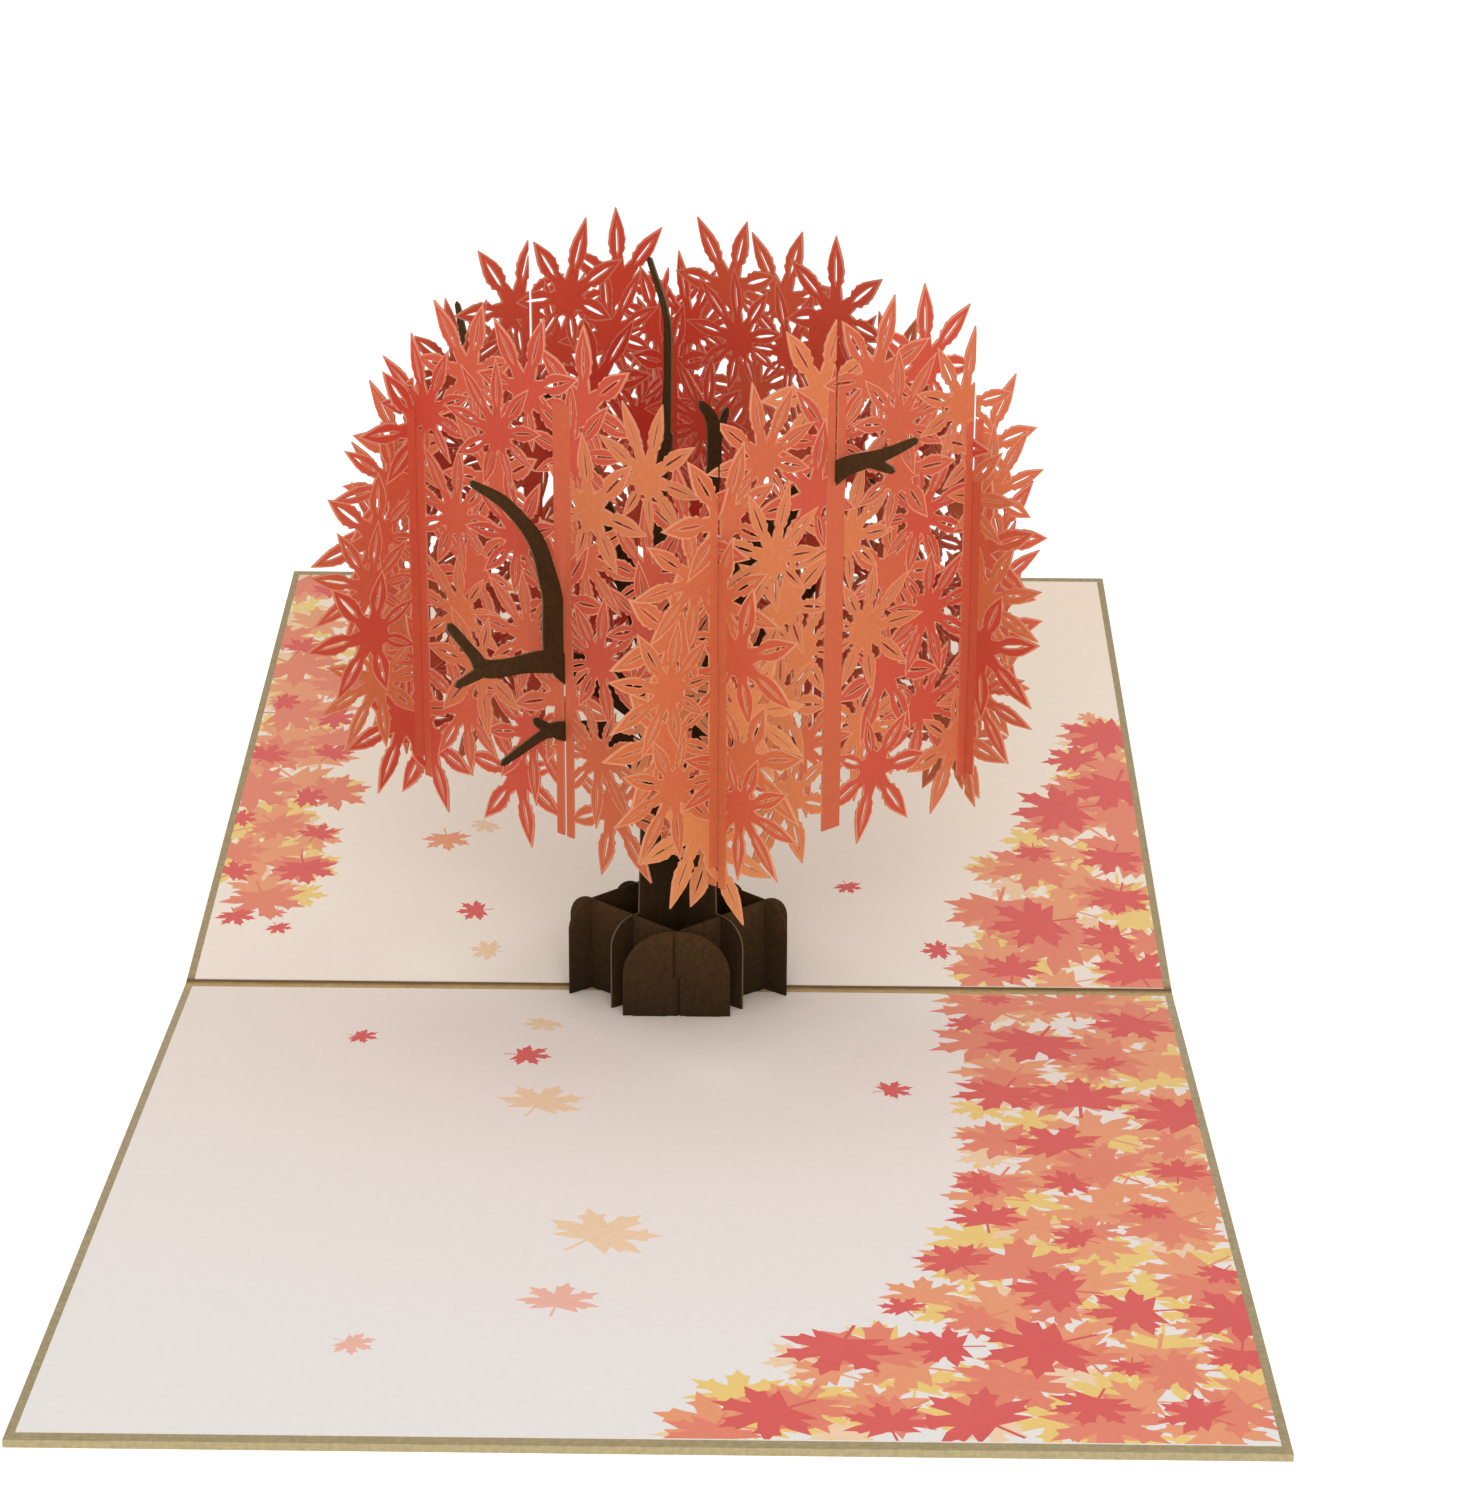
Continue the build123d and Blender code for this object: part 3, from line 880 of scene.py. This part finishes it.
# Branch sheets
side = PLANTER_HALF_SIDE
wall_top = PLANTER_HEIGHT + SLOT_OVERRUN
wall_meet = PLANTER_HEIGHT / 2
trunk(
    "trunk_sheet_a",
    sheet_a(0),
    BRANCHES_A,
    (
        (0, TRUNK_MEET_HEIGHT, CROWN_TOP),
        (-side, wall_meet, wall_top),
        (side, wall_meet, wall_top),
        (-FRONT_OFFSET, LOW_BRANCH_MEET, CROWN_TOP),
        (BACK_OFFSET, LOW_BRANCH_MEET, CROWN_TOP),
    ),
)
trunk(
    "trunk_sheet_b",
    sheet_b(0),
    BRANCHES_B,
    (
        (0, -SLOT_OVERRUN, TRUNK_MEET_HEIGHT),
        (-side, -SLOT_OVERRUN, wall_meet),
        (side, -SLOT_OVERRUN, wall_meet),
        (-SIDE_OFFSET, 0, HIGH_BRANCH_MEET),
        (SIDE_OFFSET, 0, HIGH_BRANCH_MEET),
    ),
)

# Leaf sheets
rng = random.Random(SEED)
front_middle = CROWN_MIDDLE - FRONT_SHEET_DROP
front_meet = (CROWN_MIDDLE + front_middle) / 2
side_spines = (-FRONT_OFFSET, 0, BACK_OFFSET)
side_slots = (
    (-FRONT_OFFSET, front_meet, CROWN_TOP),
    (0, HIGH_BRANCH_MEET, CROWN_TOP),
    (BACK_OFFSET, CROWN_MIDDLE, CROWN_TOP),
)
side_shape = (SIDE_OFFSET, CROWN_MIDDLE, CROWN_LEAN, side_spines, side_slots)
foliage(rng, "foliage_front_right", sheet_a(SIDE_OFFSET), FRONT_INFILL_PITCH, *side_shape)
foliage(rng, "foliage_back_left", sheet_a(-SIDE_OFFSET), BACK_INFILL_PITCH, *side_shape)


def cross_slots(meet):
    """Half slots of a sheet that meets the side sheets at a height, open at its foot."""
    return ((-SIDE_OFFSET, 0, meet), (0, 0, LOW_BRANCH_MEET), (SIDE_OFFSET, 0, meet))


cross_spines = (-SIDE_OFFSET, 0, SIDE_OFFSET)
front_shape = (FRONT_OFFSET, front_middle, -CROWN_LEAN, cross_spines, cross_slots(front_meet))
foliage(rng, "foliage_front_left", sheet_b(-FRONT_OFFSET), FRONT_INFILL_PITCH, *front_shape)
back_shape = (BACK_OFFSET, CROWN_MIDDLE, -CROWN_LEAN, cross_spines, cross_slots(CROWN_MIDDLE))
foliage(rng, "foliage_back_right", sheet_b(BACK_OFFSET), BACK_INFILL_PITCH, *back_shape)

# Drifts of printed leaves: the inner edge as depth and x, and the depths between which they lie.
# On the front page x runs to the left
FRONT_EDGE = (
    (0, -41.0),
    (60, -40.5),
    (80, -39.0),
    (110, -29.5),
    (125, -14.5),
    (138, -4.5),
    (150, -2.0),
)
FRONT_DEPTHS = (2.0, 147.0)
BACK_RIGHT_EDGE = ((0, 42.5), (25, 43.5), (45, 48.0), (55, 56.0), (80, 62.5), (95, 69.0))
BACK_RIGHT_DEPTHS = (2.0, 94.0)
BACK_LEFT_EDGE = ((15, -61.0), (30, -57.5), (60, -54.5), (100, -57.0), (150, -66.0))
BACK_LEFT_DEPTHS = (22.0, 147.0)
front_leaves = drift(rng, FRONT_EDGE, -LINER_HALF_WIDTH, FRONT_DEPTHS)
back_leaves = drift(rng, BACK_RIGHT_EDGE, LINER_HALF_WIDTH, BACK_RIGHT_DEPTHS)
back_leaves += drift(rng, BACK_LEFT_EDGE, -LINER_HALF_WIDTH, BACK_LEFT_DEPTHS)

# Leaves blown across the pages: x, depth, reach, turn and ink
FRONT_BLOWN = (
    (46.3, 21.3, 3.0, 70, CRIMSON),
    (19.4, 15.3, 3.6, -30, PEACH),
    (21.6, 28.2, 4.2, 80, CRIMSON),
    (18.4, 46.3, 7.0, 160, PEACH),
    (-31.1, 40.2, 3.6, 110, CRIMSON),
    (8.3, 91.0, 8.6, 140, PEACH),
    (12.4, 111.4, 5.8, 170, BLUSH),
    (37.2, 123.7, 3.4, 60, BLUSH),
)
BACK_BLOWN = (
    (-32.2, 23.2, 3.5, 100, CRIMSON),
    (-29.4, 10.8, 3.4, 80, PEACH),
    (26.1, 32.1, 2.6, 200, CRIMSON),
    (40.2, 12.2, 3.3, 100, CRIMSON),
    (-38.8, 46.8, 4.5, 190, ORANGE),
    (-32.6, 51.4, 3.0, 150, PEACH),
    (-70.0, 20.9, 3.6, 200, CRIMSON),
    (-63.9, 22.0, 2.2, 170, CORAL),
    (-62.9, 17.3, 2.4, 210, CRIMSON),
    (68.8, 92.2, 2.7, 100, ORANGE),
)
front_leaves += [printed_leaf(*leaf) for leaf in FRONT_BLOWN]
back_leaves += [printed_leaf(*leaf) for leaf in BACK_BLOWN]
liner("front_liner", front_page, front_leaves, liner_inks)
liner("back_liner", back_page, back_leaves, liner_inks)

# Card stock on the nodes that keep their own shape
for name, node in nodes.items():
    if name == "cover" or name.startswith("planter"):
        node.data.materials.clear()
        node.data.materials.append(cover_card if name == "cover" else planter_card_painted_shade)

# Studio: white floor and surround, soft light from the front and from above
WHITE = (1, 1, 1, 1)
FLOOR_HALF = 4.0
FLOOR_CORNERS = ((-1, -1), (1, -1), (1, 1), (-1, 1))
FLOOR_COLOUR = (0.96, 0.96, 0.96, 1)
FLOOR_ROUGHNESS = 0.9
FLOOR_GLOW = 0.42
SURROUND_STRENGTH = 0.6

floor_mesh = bpy.data.meshes.new("floor")
floor_points = [(x * FLOOR_HALF, y * FLOOR_HALF, 0) for x, y in FLOOR_CORNERS]
floor_mesh.from_pydata(floor_points, [], [(0, 1, 2, 3)])
floor = bpy.data.objects.new("floor", floor_mesh)
bpy.context.scene.collection.objects.link(floor)
floor_white = bpy.data.materials.new("floor_white")
floor_white.use_nodes = True
floor_shader = floor_white.node_tree.nodes["Principled BSDF"]
floor_shader.inputs["Base Color"].default_value = FLOOR_COLOUR
floor_shader.inputs["Roughness"].default_value = FLOOR_ROUGHNESS
floor_shader.inputs["Emission Color"].default_value = WHITE
floor_shader.inputs["Emission Strength"].default_value = FLOOR_GLOW
floor_mesh.materials.append(floor_white)

world = bpy.data.worlds.new("studio")
world.use_nodes = True
surround = world.node_tree.nodes["Background"]
surround.inputs["Color"].default_value = WHITE
surround.inputs["Strength"].default_value = SURROUND_STRENGTH
bpy.context.scene.world = world


def area_light(name, place, target, size, power):
    """Square soft light that points at a target."""
    light = bpy.data.lights.new(name, "AREA")
    light.size = size
    light.energy = power
    lamp = bpy.data.objects.new(name, light)
    lamp.location = place
    lamp.rotation_euler = (Vector(target) - Vector(place)).to_track_quat("-Z", "Y").to_euler()
    bpy.context.scene.collection.objects.link(lamp)


area_light("front_light", place=(0.06, -1.05, 0.50), target=(0, 0, 0.06), size=0.7, power=6.0)
area_light("top_light", place=(0, -0.15, 1.3), target=(0, 0, 0), size=1.4, power=3.4)

# Camera at the photograph's viewing angle: pixels of the photo, metres and degrees
IMAGE_HEIGHT = 1500
FOCAL_PIXELS = 3980.5
SENSOR = 36.0
CAMERA_PLACE = (0.01325, -0.56691, 0.21585)
CAMERA_TURN = (72.680, -0.364, 0.653)
camera_data = bpy.data.cameras.new("camera")
camera_data.sensor_width = SENSOR
camera_data.lens = FOCAL_PIXELS / IMAGE_HEIGHT * SENSOR
camera = bpy.data.objects.new("camera", camera_data)
camera.location = CAMERA_PLACE
camera.rotation_euler = [radians(turn) for turn in CAMERA_TURN]
bpy.context.scene.collection.objects.link(camera)
bpy.context.scene.camera = camera
bpy.context.scene.view_settings.view_transform = "Standard"
